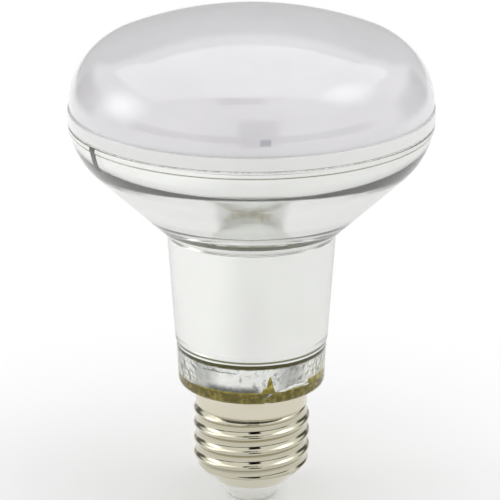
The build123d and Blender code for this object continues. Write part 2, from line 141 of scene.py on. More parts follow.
class Shader:
    """Node tree of a material or a world, with the object's own coordinates in millimetres."""

    def __init__(self, owner: bpy.types.Material | bpy.types.World) -> None:
        """Start an empty tree.

        Args:
            owner: the material or world that the tree belongs to.
        """
        self.owner = owner
        owner.use_nodes = True
        self.tree = owner.node_tree
        self.tree.nodes.clear()

    @classmethod
    def named(cls, name: str) -> Self:
        """Start a new material of that name."""
        return cls(bpy.data.materials.new(name))

    def add(
        self,
        kind: str,
        settings: dict[str, Any] | None = None,
        sockets: dict[str | int, Any] | None = None,
    ) -> bpy.types.Node:
        """Add a node, set it up and feed its inputs.

        Args:
            kind: the node's type.
            settings: the node's own properties, set first.
            sockets: values, sockets or signals by input name or index.

        Returns:
            The new node.
        """
        node = self.tree.nodes.new(kind)
        for key, value in (settings or {}).items():
            setattr(node, key, value)
        for key, value in (sockets or {}).items():
            source = value.socket if isinstance(value, Signal) else value
            if isinstance(source, bpy.types.NodeSocket):
                self.tree.links.new(source, node.inputs[key])
            elif node.inputs[key].type == "RGBA":
                node.inputs[key].default_value = (*source, 1.0)
            else:
                node.inputs[key].default_value = source
        return node

    def math(self, operation: str, *values: Signal | float) -> Signal:
        """Value of a Math node's operation on one or two values."""
        node = self.add("ShaderNodeMath", {"operation": operation}, dict(enumerate(values)))
        return Signal(self, node.outputs[0])

    def place(self, stretch: Triple = (1, 1, 1)) -> bpy.types.NodeSocket:
        """Object coordinates in millimetres.

        Args:
            stretch: factors on x, y and z.

        Returns:
            The coordinates.
        """
        source = self.add("ShaderNodeTexCoord").outputs["Object"]
        scale = tuple(factor / MM for factor in stretch)
        scaled = self.add("ShaderNodeVectorMath", {"operation": "MULTIPLY"}, {0: source, 1: scale})
        return scaled.outputs[0]

    def axes(self, vector: bpy.types.NodeSocket | None = None) -> tuple[Signal, ...]:
        """The x, y and z of a vector, or of the object coordinates in millimetres."""
        split = self.add("ShaderNodeSeparateXYZ", None, {0: vector or self.place()})
        return tuple(Signal(self, output) for output in split.outputs)

    def polar(self) -> tuple[Signal, Signal]:
        """Bearing from the front in degrees, positive to the right, and height in millimetres."""
        x, y, z = self.axes()
        return self.math("ARCTAN2", x, 0 - y) * math.degrees(1), z

    def ray(self, *kinds: str) -> Signal:
        """Tell rays of some kinds from all others.

        Args:
            kinds: names of the Light Path node's ray kinds.

        Returns:
            A mask that is 1 for rays of those kinds.
        """
        path = self.add("ShaderNodeLightPath")
        mask, *others = (Signal(self, path.outputs[f"Is {kind} Ray"]) for kind in kinds)
        for other in others:
            mask = mask | other
        return mask

    def noise(self, size: float, detail: Detail, stretch: Triple = (1, 1, 1)) -> Signal:
        """Cloudy noise from 0 to 1.

        Args:
            size: how large its blotches are, in millimetres.
            detail: how many finer layers it has.
            stretch: factors on x, y and z before the noise is read.

        Returns:
            The noise.
        """
        sockets = {"Vector": self.place(stretch), "Scale": 1 / size, "Detail": detail}
        return Signal(self, self.add("ShaderNodeTexNoise", None, sockets).outputs[0])

    def blend(self, mask: Signal, low: Any, high: Any) -> bpy.types.NodeSocket:
        """Colour that goes from low to high as a mask goes from 0 to 1."""
        node = self.add("ShaderNodeMix", {"data_type": "RGBA"}, {0: mask, 6: low, 7: high})
        return node.outputs[2]

    def bump(self, height: Signal, depth: float) -> bpy.types.NodeSocket:
        """Normal of a surface that a height signal raises by up to depth millimetres."""
        node = self.add("ShaderNodeBump", None, {"Height": height, "Distance": depth * MM})
        return node.outputs[0]

    def surface(self, **sockets: Any) -> bpy.types.NodeSocket:
        """Principled surface; its inputs are named as in Blender, with underscores for spaces."""
        named = {key.replace("_", " "): value for key, value in sockets.items()}
        return self.add("ShaderNodeBsdfPrincipled", None, named).outputs[0]

    def glow(self, strength: float) -> bpy.types.NodeSocket:
        """White light of an even strength."""
        return self.add("ShaderNodeEmission", None, {"Strength": strength}).outputs[0]

    def mix(self, mask: Signal, *closures: bpy.types.NodeSocket) -> bpy.types.NodeSocket:
        """Closure that goes from the first to the second as a mask goes from 0 to 1."""
        return self.add("ShaderNodeMixShader", None, dict(enumerate((mask, *closures)))).outputs[0]

    def done(self, closure: bpy.types.NodeSocket) -> Any:
        """Wire a closure to the output.

        Args:
            closure: what the surface or the surroundings look like.

        Returns:
            The finished material or world.
        """
        kind = "World" if isinstance(self.owner, bpy.types.World) else "Material"
        self.add(f"ShaderNodeOutput{kind}", None, {"Surface": closure})
        return self.owner

    def painted(self, **sockets: Any) -> bpy.types.Material:
        """Finished material of one Principled surface."""
        return self.done(self.surface(**sockets))


@dataclass(frozen=True)
class ClearGlass:
    """Blown soda glass with slow waves in its skin."""

    name: str = "clear_glass"
    tint: Colour = (0.964, 0.978, 0.955)
    crown: Colour = (0.978, 0.990, 0.972)
    refraction: float = 1.5
    wave_size: float = 9.0
    wave_stretch: Triple = (1, 1, 0.35)
    wave_depth: float = 0.02

    def material(self) -> bpy.types.Material:
        """Mix the glass.

        Returns:
            The finished material.
        """
        shader = Shader.named(self.name)
        waves = shader.noise(self.wave_size, Detail.SLOW, self.wave_stretch)
        return shader.painted(
            Base_Color=shader.blend(waves, self.tint, self.crown),
            Roughness=0.0,
            IOR=self.refraction,
            Transmission_Weight=1.0,
            Normal=shader.bump(waves, self.wave_depth),
        )


@dataclass(frozen=True)
class PaintedShadeRing:
    """A dark ring of painted shade in the mirror coat: its middle height, its width and how far it darkens.
    """

    height: float
    width: float
    depth: float


@dataclass(frozen=True)
class MirrorCoat:
    """Silver coat on the inside of the glass, with dark rings of painted shade and a scratch at the left.
    """

    name: str = "mirror_coat"
    silver: Colour = (0.97, 0.97, 0.96)
    shade: Colour = (0.94, 0.94, 0.925)
    # Painted shade: colour of the dark rings at the shaded gap under the rim, the throat's corner and the
    # step in the neck.
    ring_shade: Colour = (0.19, 0.185, 0.09)
    metallic: float = 0.89
    roughness: float = 0.04
    rings: tuple[PaintedShadeRing, ...] = (
        PaintedShadeRing(87.25, 0.06, 0.85),
        PaintedShadeRing(66.9, 0.9, 0.9),
        PaintedShadeRing(65.2, 1.4, 0.08),
        PaintedShadeRing(37.6, 0.25, 0.97),
    )
    ring_edge: float = 0.2
    ring_blur: float = 0.16
    scratch: Colour = (0.09, 0.10, 0.08)
    scratch_bearing: float = -59.5
    scratch_width: float = 3.2
    scratch_heights: Point = (83.6, 88.2)
    scratch_edge: float = 0.2
    cloud_size: float = 14.0
    cloud_blur: float = 0.04
    ripple_size: float = 6.0
    ripple_depth: float = 0.015

    def material(self) -> bpy.types.Material:
        """Mix the mirror.

        Returns:
            The finished material.
        """
        shader = Shader.named(self.name)
        bearing, height = shader.polar()
        clouds = shader.noise(self.cloud_size, Detail.CLOUDY)
        scratch = bearing.near(self.scratch_bearing, self.scratch_width / 2, self.scratch_edge)
        scratch = scratch * height.band(*self.scratch_heights, self.scratch_edge)
        silver = shader.blend(clouds.rise(*CLOUD_SPAN), self.silver, self.shade)
        roughness = self.roughness + self.cloud_blur * clouds
        # Each ring paints shade into the silver and makes it duller.
        for ring in self.rings:
            mask = height.near(ring.height, ring.width / 2, self.ring_edge)
            silver = shader.blend(ring.depth * mask, silver, self.ring_shade)
            roughness = roughness + self.ring_blur * mask
        return shader.painted(
            Base_Color=shader.blend(scratch, silver, self.scratch),
            Metallic=self.metallic * (1 - scratch),
            Roughness=roughness,
            Normal=shader.bump(shader.noise(self.ripple_size, Detail.SLOW), self.ripple_depth),
        )


@dataclass(frozen=True)
class Tongue:
    """Place where the film's lower edge rises or dips: bearing, reach to each side and height."""

    bearing: float
    reach: float
    height: float


@dataclass(frozen=True)
class FootFilm:
    """Olive cement in the foot, under a torn and crumpled silver film that leaves a window above; the
    window, the film's sides and creases carry painted shade, and the film has a painted shadow band and a
    painted highlight along the arch.
    """

    name: str = "foot_film"
    olive: Colour = (0.34, 0.28, 0.02)
    gold: Colour = (0.86, 0.72, 0.12)
    grain_size: float = 1.1
    grain_span: Point = (0.42, 0.72)
    silver: Colour = (0.96, 0.96, 0.94)
    metallic: float = 0.95
    roughness: float = 0.35
    polish: float = 0.15
    # Painted shade: dark grey laid into the film's creases.
    crease_shade: Colour = (0.28, 0.29, 0.29)
    crease_size: float = 1.5
    crease_stretch: Triple = (1, 1, 0.7)
    crease_span: Point = (0.5, 0.72)
    shadow: Colour = (0.17, 0.175, 0.17)
    shadow_span: Point = (-34.0, 2.0)
    shadow_edge: float = 9.0
    shadow_height: Point = (1.9, 0.4)
    # Painted shade: the film is darker to each side of the front.
    dim: Colour = (0.55, 0.555, 0.54)
    dim_bearing: float = -4.0
    dim_sides: Point = (20.0, 36.0)
    dim_end: Point = (58.0, 42.0)
    film_top: float = 36.06
    film_top_depth: float = 0.3
    # Painted shade: the cement seen in the window is darkened to stand for the shaded gap behind the film.
    window: Colour = (0.10, 0.085, 0.004)
    edge_height: float = 30.5
    edge_softness: float = 0.15
    tongues: tuple[Tongue, ...] = (
        Tongue(-75, 35, -0.5),
        Tongue(10.5, 2.6, 1.1),
        Tongue(15.6, 4.8, 3.7),
    )
    arch_bearing: float = 40.0
    arch_height: float = 31.0
    arch_reach: float = 27.0
    arch_drop: float = 2.4
    # Painted highlight: white laid along the arch of the film's edge.
    arch_highlight: Colour = (1.0, 1.0, 0.98)
    streak_start: float = 13.0
    streak_end: float = 1.0
    streak_width: float = 0.3
    patch_span: Point = (51.5, 54.0)
    patch_height: float = 1.1
    wrinkle_height: float = 35.3
    wrinkle_width: float = 0.5
    crumple_size: float = 0.9
    crumple_depth: float = 0.2
    smooth_bearing: float = -28.0
    smooth_reach: float = 24.0
    smooth_span: Point = (0.1, 0.5)
    smooth_crumple: float = 0.85
    smooth_crease: float = 0.8
    ragged_size: float = 0.9
    ragged_depth: float = 0.7

    def material(self) -> bpy.types.Material:
        """Mix the cement and the film over it.

        Returns:
            The finished material.
        """
        shader = Shader.named(self.name)
        bearing, height = shader.polar()
        soft = self.edge_softness
        tatters = shader.noise(self.ragged_size, Detail.CLOUDY) - 0.5
        ragged = height + self.ragged_depth * tatters
        edge = self.edge_height + self.patch_height * bearing.rise(*self.patch_span)
        for tongue in self.tongues:
            edge = edge + tongue.height * bearing.tent(tongue.bearing, tongue.reach).rise(0, 1)
        share = (bearing - self.arch_bearing) / self.arch_reach
        arch = self.arch_height - self.arch_drop * share**2
        over = ragged - (edge | arch)
        window = (height + self.film_top_depth * tatters - self.film_top).rise(-soft, soft)
        # Mask of the painted highlight line along the arch.
        streak = bearing.band(self.streak_start, self.patch_span[1], self.streak_end)
        streak = streak * abs(ragged - arch).rise(self.streak_width + soft, self.streak_width)
        film = (over.rise(-soft, soft) | streak) * (1 - window)

        wrinkle = height.near(self.wrinkle_height, 0, self.wrinkle_width)
        calm = bearing.tent(self.smooth_bearing, self.smooth_reach).rise(*self.smooth_span) * (1 - wrinkle)
        crumple = shader.noise(self.crumple_size, Detail.CLOUDY) * (1 - self.smooth_crumple * calm)
        creases = shader.noise(self.crease_size, Detail.GRITTY, self.crease_stretch).rise(*self.crease_span)
        creases = creases * (1 - self.smooth_crease * calm)
        away = abs(bearing - self.dim_bearing)
        sides = away.rise(*self.dim_sides) * away.rise(*self.dim_end)
        shadow = bearing.band(*self.shadow_span, self.shadow_edge) * over.rise(*self.shadow_height)

        grain = shader.noise(self.grain_size, Detail.GRITTY).rise(*self.grain_span)
        # Painted shade: the cement in the window takes the darkened window colour.
        cement = shader.blend(window, shader.blend(grain, self.olive, self.gold), self.window)
        # Painted shade on the foil: darker sides and dark creases.
        foil = shader.blend(creases, shader.blend(sides, self.silver, self.dim), self.crease_shade)
        # Painted shadow band under the film, and a painted highlight along the arch.
        foil = shader.blend(streak, shader.blend(shadow, foil, self.shadow), self.arch_highlight)
        return shader.painted(
            Base_Color=shader.blend(film, cement, foil),
            Metallic=self.metallic * film,
            Roughness=self.roughness - self.polish * film,
            Specular_IOR_Level=0.0,
            Normal=shader.bump(crumple * (1 - streak), self.crumple_depth),
        )


@dataclass(frozen=True)
class SatinLens:
    """Hazy pale plastic with a polished outside and a gate mark at the front."""

    name: str = "satin_lens"
    haze: Colour = (0.80, 0.785, 0.805)
    clear: Colour = (0.845, 0.83, 0.85)
    roughness: float = 0.28
    refraction: float = 1.49
    inner_gloss: float = 0.1
    see_through: float = 0.22
    coat_roughness: float = 0.06
    coat_refraction: float = 1.75
    flange: Colour = (0.88, 0.88, 0.87)
    flange_height: float = 92.0
    flange_edge: float = 0.3
    line_size: float = 0.5
    line_stretch: Triple = (0.04, 0.04, 1)
    line_depth: float = 0.02
    flow_size: float = 16.0
    flow_stretch: Triple = (1, 1, 2.2)
    flow_blur: float = 0.12
    gate_mark: Colour = (0.56, 0.57, 0.61)
    gate_bearing: float = 4.2
    gate_height: float = 95.2
    gate_half_turn: float = 1.3
    gate_half_height: float = 0.35
    gate_edge: float = 0.6

    def material(self) -> bpy.types.Material:
        """Mix the lens.

        Returns:
            The finished material.
        """
        shader = Shader.named(self.name)
        bearing, height = shader.polar()
        flow = shader.noise(self.flow_size, Detail.CLOUDY, self.flow_stretch)
        gate = bearing.near(self.gate_bearing, self.gate_half_turn, self.gate_edge)
        gate = gate * height.near(self.gate_height, self.gate_half_height, self.gate_edge)
        rim = height.rise(self.flange_height + self.flange_edge, self.flange_height)
        lines = rim * shader.noise(self.line_size, Detail.CLOUDY, self.line_stretch)
        body = shader.blend(flow.rise(*CLOUD_SPAN), self.haze, self.clear)
        body = shader.blend(rim, body, self.flange)
        return shader.painted(
            Base_Color=shader.blend(gate, body, self.gate_mark),
            Roughness=self.roughness + self.flow_blur * flow,
            IOR=self.refraction,
            Specular_IOR_Level=self.inner_gloss,
            Transmission_Weight=self.see_through,
            Coat_Weight=1.0,
            Coat_Roughness=self.coat_roughness,
            Coat_IOR=self.coat_refraction,
            Normal=shader.bump(lines, self.line_depth),
        )


@dataclass(frozen=True)
class Nickel:
    """Nickel-plated brass with a warm tint, faint rolling lines and stains, darker towards its foot."""

    name: str = "warm_nickel"
    plate: Colour = (0.73, 0.69, 0.555)
    lower_tone: Colour = (0.59, 0.56, 0.44)
    lower_tone_height: float = 22.4
    lower_tone_edge: float = 1.2
    lower_tone_even: float = 0.7
    lower_tone_stained: float = 0.6
    roughness: float = 0.07
    roll_size: float = 0.5
    roll_stretch: Triple = (0.05, 0.05, 1.6)
    roll_depth: float = 0.009
    stain_size: float = 4.0
    stain_blur: float = 0.08

    def material(self) -> bpy.types.Material:
        """Mix the plated metal.

        Returns:
            The finished material.
        """
        shader = Shader.named(self.name)
        rolling = shader.noise(self.roll_size, Detail.PLAIN, self.roll_stretch)
        stains = shader.noise(self.stain_size, Detail.GRITTY)
        _, height = shader.polar()
        # Darker colour over the lower part, mixed with stains.
        lower_tone = height.rise(self.lower_tone_height + self.lower_tone_edge, self.lower_tone_height)
        lower_tone = lower_tone * (self.lower_tone_even + self.lower_tone_stained * stains)
        return shader.painted(
            Base_Color=shader.blend(lower_tone, self.plate, self.lower_tone),
            Metallic=1.0,
            Roughness=self.roughness + self.stain_blur * stains * rolling,
            Normal=shader.bump(rolling, self.roll_depth),
        )


@dataclass(frozen=True)
class Moulding:
    """A plain solid's finish: cloudy colour, uneven gloss and fine grain."""

    name: str
    colour: Colour
    roughness: float = 0.45
    metallic: float = 0.0
    gloss: float = 0.5
    cloud_size: float = 5.0
    cloud_blur: float = 0.15
    grain_size: float = 0.4
    grain_depth: float = 0.01
    spread: float = 0.12

    def material(self) -> bpy.types.Material:
        """Mix the finish.

        Returns:
            The finished material.
        """
        shader = Shader.named(self.name)
        clouds = shader.noise(self.cloud_size, Detail.CLOUDY)
        dark = tuple(channel * (1 - self.spread) for channel in self.colour)
        return shader.painted(
            Base_Color=shader.blend(clouds.rise(*CLOUD_SPAN), self.colour, dark),
            Metallic=self.metallic,
            Roughness=self.roughness + self.cloud_blur * (clouds - 0.5),
            Specular_IOR_Level=self.gloss,
            Normal=shader.bump(shader.noise(self.grain_size, Detail.PLAIN), self.grain_depth),
        )


@dataclass
class Outline:
    """Half section of a turned piece: its points in millimetres, with soft corners and zones."""

    points: list[Point] = field(default_factory=list)
    softness: list[float] = field(default_factory=list)
    zones: list[int] = field(default_factory=list)
    zone: int = 0

    def to(self, radius: float, height: float, soft: float = 0.0) -> Self:
        """Go straight to a point.

        Args:
            radius: the point's distance from the axis.
            height: the point's height.
            soft: radius of the arc that rounds its corner.

        Returns:
            The outline itself.
        """
        self.points.append((radius, height))
        self.softness.append(soft)
        self.zones.append(self.zone)
        return self

    def run(self, radius: float, height: float, steps: int) -> Self:
        """Go straight to a point in short steps, so that the stretch can be folded.

        Args:
            radius: the point's distance from the axis.
            height: the point's height.
            steps: number of steps.

        Returns:
            The outline itself.
        """
        start = self.points[-1]
        for share in np.linspace(0, 1, steps + 1)[1:]:
            self.to(start[0] + share * (radius - start[0]), start[1] + share * (height - start[1]))
        return self

    def arc(self, centre: Point, radius: float, start: float, end: float, steps: int) -> Self:
        """Follow an arc about a centre.

        Args:
            centre: the arc's centre.
            radius: the arc's radius.
            start: bearing of its first point in degrees, 0 outwards and 90 up.
            end: bearing of its last point.
            steps: number of chords.

        Returns:
            The outline itself.
        """
        for turn in np.radians(np.linspace(start, end, steps + 1)):
            point = (centre[0] + radius * math.cos(turn), centre[1] + radius * math.sin(turn))
            if not self.points or math.dist(point, self.points[-1]) > TOUCH / 2:
                self.to(*point)
        return self

    def entering(self, zone: int) -> Self:
        """Give the stretches that follow another finish."""
        self.zone = zone
        return self

    def rounded(self, steps: int = 7) -> "Outline":
        """Replace each soft corner of the closed outline by an arc.

        Args:
            steps: number of chords of each arc.

        Returns:
            The new outline.
        """
        smooth = Outline()
        count = len(self.points)
        for index, (point, soft, zone) in enumerate(zip(self.points, self.softness, self.zones)):
            smooth.entering(zone)
            if not soft:
                smooth.to(*point)
                continue
            corner = Vector(point)
            before = (Vector(self.points[index - 1]) - corner).normalized()
            after = (Vector(self.points[(index + 1) % count]) - corner).normalized()
            half = before.angle(after) / 2
            start = corner + before * (soft / math.tan(half))
            centre = corner + (before + after).normalized() * (soft / math.sin(half))
            sweep = math.pi - 2 * half
            turn = sweep if before.cross(after) < 0 else -sweep
            for step in range(steps + 1):
                smooth.to(*(centre + Matrix.Rotation(turn * step / steps, 2) @ (start - centre)))
        return smooth.supported()

    def supported(self, margin: float = 0.1, long: float = 0.8) -> "Outline":
        """Add a point near both ends of each long stretch, so that its shading stays flat.

        Args:
            margin: how far the new points lie from the ends.
            long: length from which a stretch gets them.

        Returns:
            The new outline.
        """
        firm = Outline()
        count = len(self.points)
        for index, (point, zone) in enumerate(zip(self.points, self.zones)):
            firm.entering(zone).to(*point)
            start, end = Vector(point), Vector(self.points[(index + 1) % count])
            step = (end - start).normalized() * margin
            if (end - start).length > long:
                firm.to(*(start + step)).to(*(end - step))
        return firm


def placed(name: str, data: bpy.types.ID) -> bpy.types.Object:
    """Put a new object into the scene.

    Args:
        name: the object's name.
        data: its mesh or camera.

    Returns:
        The object.
    """
    made = bpy.data.objects.new(name, data)
    bpy.context.scene.collection.objects.link(made)
    return made


@dataclass
class Skin:
    """Builds a closed skin around the lamp's axis from rings of radii and heights."""

    name: str
    segments: int = 256

    def bearings(self) -> np.ndarray:
        """Directions of a ring's points around the axis, in radians."""
        return np.arange(self.segments) * (2 * math.pi / self.segments)

    def rings(self, *places: tuple[float | np.ndarray, float]) -> list[Ring]:
        """Level rings at some heights, each of one radius or of one for each bearing."""
        count = self.segments
        return [(np.full(count, radius), np.full(count, height)) for radius, height in places]

    def turned(self, outline: Outline) -> bpy.types.Object:
        """Turn a closed outline about the axis."""
        return self.wrapped(self.rings(*outline.points), outline.zones)

    def wrapped(
        self, rings: list[Ring], zones: Sequence[int] = (), sharp: float = 32.0
    ) -> bpy.types.Object:
        """Join rings into a closed skin.

        Args:
            rings: radii and heights in millimetres around the axis, ring by ring.
            zones: material index of the band that starts at each ring; none means the first.
            sharp: edges steeper than this many degrees stay crisp.

        Returns:
            The new object.
        """
        bearings = self.bearings()
        vertices: list[Triple] = []
        rows: list[list[int]] = []
        for radii, heights in rings:
            first = len(vertices)
            if radii.max() < ON_AXIS:
                vertices.append((0.0, 0.0, float(heights[0]) * MM))
                rows.append([first] * self.segments)
                continue
            ring = np.column_stack((radii * np.cos(bearings), radii * np.sin(bearings), heights))
            vertices.extend(map(tuple, (ring * MM).tolist()))
            rows.append(list(range(first, first + self.segments)))
        faces: list[list[int]] = []
        slots: list[int] = []
        for index, row in enumerate(rows):
            above = rows[(index + 1) % len(rows)]
            if row[0] == row[-1] and above[0] == above[-1]:
                continue
            for k in range(self.segments):
                step = (k + 1) % self.segments
                faces.append(list(dict.fromkeys((row[k], row[step], above[step], above[k]))))
                slots.append(zones[index] if zones else 0)
        mesh = bpy.data.meshes.new(self.name)
        mesh.from_pydata(vertices, [], faces)
        mesh.polygons.foreach_set("material_index", slots)
        mesh.polygons.foreach_set("use_smooth", [True] * len(faces))
        mesh.set_sharp_from_angle(angle=math.radians(sharp))
        mesh.validate()
        mesh.update()
        return placed(self.name, mesh)


def span(node: str) -> Triple:
    """Measure a CAD node, in millimetres.

    Args:
        node: the node's name.

    Returns:
        Its lowest height, highest height and largest radius.
    """
    low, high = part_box(node)
    return low.z / MM, high.z / MM, high.x / MM


def fit(piece: bpy.types.Object, node: str, slot: str, *materials: bpy.types.Material) -> None:
    """Dress a new piece, let it ride on the lamp and stand for a CAD node.

    Args:
        piece: the new piece.
        node: the CAD node it replaces.
        slot: the record's material slot; not used.
        materials: its materials in the order of its zones.
    """
    for material in materials:
        piece.data.materials.append(material)
    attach(piece, BODY)
    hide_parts(node)
    log.info("%s: %d faces, stands for %s", piece.name, len(piece.data.polygons), node)


class GlassZone(IntEnum):
    """Stretches of the glass that differ in finish."""

    CLEAR = 0
    MIRRORED = 1
    FILMED = 2


@dataclass
class GlassReflector:
    """Blown glass body: turned-in foot, neck with a step, cone, round bulge and rim band."""

    wall: float = 2.0
    foot_radius: float = 16.35
    foot_round: float = 1.1
    foot_lip: float = 2.3
    lip_round: float = 0.5
    inner_round: float = 0.8
    neck_length: float = 35.35
    neck_flare: float = 2.37
    step_height: float = 10.45
    step_depth: float = 0.22
    step_round: float = 0.3
    junction_round: float = 2.2
    throat_round: float = 3.0
    throat_lift: float = 1.7
    throat_reach: float = 7.5
    reach_round: float = 0.5
    cone_angle: float = 46.5
    bulge_round: float = 15.5
    rim_drop: float = 1.15
    rim_band: float = 1.15
    rim_groove: float = 0.2
    rim_step: float = 0.1
    rim_round: float = 0.3
    mirror_angle: float = 46.1
    ease_rise: float = 20.47
    ease_round: float = 80.0
    ease_turn: float = 3.58
    mirror_drop: float = 0.3
    mirror_rise: float = 9.05
    film_rise: float = 8.1
    window_sides: Point = (18.0, 54.0)
    window_least: float = 0.1
    smear_radius: float = 14.3
    smear_spread: float = 0.5
    smear_size: float = 3.0
    fold_depth: float = 0.14
    fold_size: float = 2.2
    crease_share: float = 1.7
    crease_shift: Triple = (7.3, 1.9, 4.1)
    fold_rows: int = 60
    curve_steps: int = 36

    def __post_init__(self) -> None:
        """Take the foot, rim and largest radius from the CAD node."""
        self.foot_z, self.rim_z, self.rim_radius = span("glass_reflector")
        self.lip_z = self.foot_z + self.wall
        self.film_z = self.foot_z + self.film_rise
        self.mirror_z = self.foot_z + self.mirror_rise
        self.neck_z = self.foot_z + self.neck_length
        self.flare = self.neck_flare / self.neck_length
        self.mouth = self.foot_radius - self.wall - self.foot_lip

    def neck_radius(self, height: float) -> float:
        """Outside radius of the straight neck at a height."""
        return self.foot_radius + self.flare * (height - self.foot_z)

    def bore(self, height: float) -> float:
        """Inside radius of the straight neck at a height."""
        return self.neck_radius(height) - self.wall

    def outline(self) -> Outline:
        """Draw the glass from its mouth out, up the outside and down the inside.

        Returns:
            The closed half section.
        """
        cone = math.radians(self.cone_angle)
        neck_top = (self.neck_radius(self.neck_z), self.neck_z)
        centre = (self.rim_radius - self.rim_step - self.bulge_round, self.rim_z + self.rim_drop)
        band_z = self.rim_z - self.rim_band
        groove_z = band_z - self.rim_groove
        band_turn = math.degrees(math.asin((centre[1] - groove_z) / self.bulge_round))
        step_z = self.foot_z + self.step_height
        throat = (neck_top[0] - self.wall * math.cos(cone), neck_top[1] + self.wall * math.sin(cone))
        mirror = math.radians(self.mirror_angle)
        run = (self.bore(throat[1]) - throat[0]) / (math.sin(mirror) - self.flare * math.cos(mirror))
        throat_z = throat[1] + run * math.cos(mirror) + self.throat_lift
        corner_z = self.lip_z + self.inner_round
        glass = Outline(zone=GlassZone.FILMED)
        glass.to(self.mouth, self.lip_z, self.lip_round).to(self.mouth, self.foot_z, self.lip_round)
        glass.entering(GlassZone.CLEAR).to(self.smear_radius, self.foot_z)
        glass.to(self.foot_radius, self.foot_z, self.foot_round)
        glass.to(self.neck_radius(step_z) - self.step_depth, step_z, self.step_round / 2)
        glass.to(self.neck_radius(step_z), step_z + self.step_round, self.step_round)
        glass.to(*neck_top, self.junction_round)
        glass.arc(centre, self.bulge_round, -self.cone_angle, -band_turn, self.curve_steps)
        glass.to(self.rim_radius - self.rim_step - self.rim_groove, band_z - self.rim_groove / 2)
        glass.to(self.rim_radius, band_z, self.rim_step)
        glass.to(self.rim_radius, self.rim_z, self.rim_round)
        self.line_bulge(glass, centre, throat)
        reach = Vector(throat) + self.throat_reach * Vector((math.sin(mirror), math.cos(mirror)))
        glass.to(*reach, self.reach_round)
        glass.to(self.bore(throat_z), throat_z, self.throat_round)
        glass.entering(GlassZone.FILMED).to(self.bore(self.mirror_z), self.mirror_z)
        glass.to(self.bore(self.film_z), self.film_z)
        glass.run(self.bore(corner_z), corner_z, self.fold_rows)
        glass.to(self.bore(self.lip_z), self.lip_z, self.inner_round)
        return glass.rounded()

    def line_bulge(self, glass: Outline, centre: Point, throat: Point) -> None:
        """Follow the bulge's inside from the rim down, by a tight arc and one that eases into the cone.

        Args:
            glass: the outline that goes on.
            centre: centre of the bulge's outside arc.
            throat: where the inside of the cone begins.
        """
        inner_round = self.bulge_round - self.wall
        rim_turn = math.asin(self.rim_drop / inner_round)
        inner_rim = centre[0] + inner_round * math.cos(rim_turn)
        cone = math.radians(self.mirror_angle)
        ease = cone - math.radians(self.ease_turn)
        ease_centre = (
            throat[0] + self.ease_rise * math.sin(cone) - self.ease_round * math.cos(cone),
            throat[1] + self.ease_rise * math.cos(cone) + self.ease_round * math.sin(cone),
        )
        gap = inner_rim - ease_centre[0] - self.ease_round * math.cos(ease)
        tight_round = gap / (math.cos(rim_turn) - math.cos(ease))
        spread = self.ease_round - tight_round
        tight_centre = Vector(ease_centre) + spread * Vector((math.cos(ease), -math.sin(ease)))
        turns = [-math.degrees(turn) for turn in (rim_turn, ease, cone)]
        glass.to(inner_rim, self.rim_z)
        glass.entering(GlassZone.MIRRORED).to(inner_rim, self.rim_z - self.mirror_drop)
        glass.arc(tight_centre, tight_round, *turns[:2], self.curve_steps)
        glass.arc(ease_centre, self.ease_round, *turns[1:], self.curve_steps)

    def fold(self, bearing: float, height: float) -> float:
        """Fold the film by lumps and sharper creases.

        Args:
            bearing: direction around the axis in radians.
            height: height of the place in millimetres.

        Returns:
            How far the film stands inwards there.
        """
        radius = self.bore(height)
        place = Vector((math.cos(bearing) * radius, math.sin(bearing) * radius, height))
        place = place / self.fold_size
        lumps = (1 + noise.noise(place)) / 2
        creases = abs(noise.noise(place * self.crease_share + Vector(self.crease_shift)))
        return self.fold_depth * (lumps + creases) / 2

    def smear(self, bearing: float) -> float:
        """Radius that the squeezed-out cement reaches under the foot at a bearing in radians."""
        place = self.smear_radius / self.smear_size * Vector((math.cos(bearing), math.sin(bearing), 0))
        return self.smear_radius + self.smear_spread * noise.noise(place)

    def window_close(self, bearing: float) -> float:
        """Let the mirror coat hang down over the olive window at its sides.

        Args:
            bearing: direction around the axis in radians.

        Returns:
            How far the coat's edge is lowered.
        """
        away = abs((math.degrees(bearing) - FRONT + 180) % 360 - 180)
        near, far = self.window_sides
        share = min(max((away - near) / (far - near), 0.0), 1.0)
        return (self.mirror_rise - self.film_rise - self.window_least) * share * share

    def build(self) -> None:
        """Make the glass, fold its filmed face, close in its window and dress it."""
        skin = Skin("glass_body")
        outline = self.outline()
        bearings = skin.bearings()
        rings = skin.rings(*outline.points)
        for index, ((radius, height), zone) in enumerate(zip(outline.points, outline.zones)):
            radii, heights = rings[index]
            filmed = zone == GlassZone.FILMED
            if filmed and self.lip_z + self.inner_round <= height < self.film_z - TOUCH:
                radii = radii - [self.fold(bearing, height) for bearing in bearings]
            elif filmed and math.isclose(height, self.mirror_z):
                heights = heights - [self.window_close(bearing) for bearing in bearings]
                radii = self.bore(heights)
            elif math.dist((radius, height), (self.smear_radius, self.foot_z)) < self.smear_spread:
                radii = radii - self.smear_radius + [self.smear(bearing) for bearing in bearings]
            rings[index] = (radii, heights)
        finishes = (ClearGlass(), MirrorCoat(), FootFilm())
        piece = skin.wrapped(rings, outline.zones)
        fit(piece, "glass_reflector", "mirrored_glass", *(finish.material() for finish in finishes))


